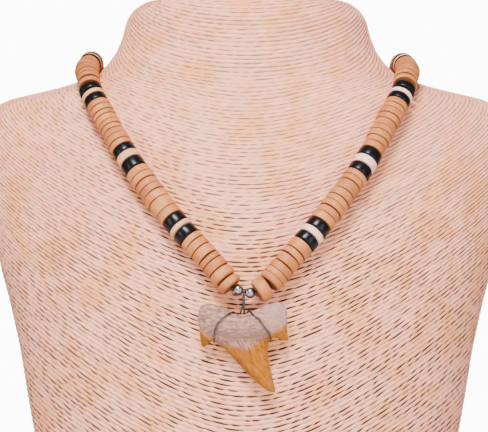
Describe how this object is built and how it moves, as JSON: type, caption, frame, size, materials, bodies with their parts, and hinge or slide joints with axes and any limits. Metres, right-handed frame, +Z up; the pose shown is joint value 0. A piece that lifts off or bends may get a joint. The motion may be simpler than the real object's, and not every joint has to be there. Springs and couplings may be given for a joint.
{
  "type": "shark tooth necklace on a neck bust",
  "caption": "Necklace of wooden disc beads with a fossil shark tooth hung in a wire wrap, worn on a cord-wound neck bust; the tooth swings out from the chest.",
  "frame": {"origin": "middle of the bust's flat base, on the surface it stands on", "axes": "+Z up, -Y the front of the chest, +X to the viewer's right"},
  "size_m": [0.229, 0.1671, 0.254],
  "materials": {
    "wound_cord": "matte wound cord",
    "thread": "waxed",
    "wood_bead": "satin",
    "black_bead": "polished",
    "pale_bead": "satin",
    "steel": "polished",
    "tooth": "satin fossil enamel",
    "wire": "dull"
  },
  "bodies": {
    "display": {"neck_bust": "wound_cord", "thread": "thread", "barrel_clasp": "steel", "steel_ball_left": "steel", "steel_ball_right": "steel", "wood_beads_left": "wood_bead", "wood_beads_right": "wood_bead", "black_beads_left": "black_bead", "black_beads_right": "black_bead", "white_beads_left": "pale_bead", "white_beads_right": "pale_bead"},
    "pendant": {"shark_tooth": "tooth", "wire_wrap": "wire"}
  },
  "joints": [
    {"name": "tooth_swing", "type": "hinge", "parent": "display", "child": "pendant", "pos_m": [-0.001, -0.09314, 0.12986], "axis": [-0.9756, 0.0528, 0.2129], "range_deg": [0, 70]}
  ]
}
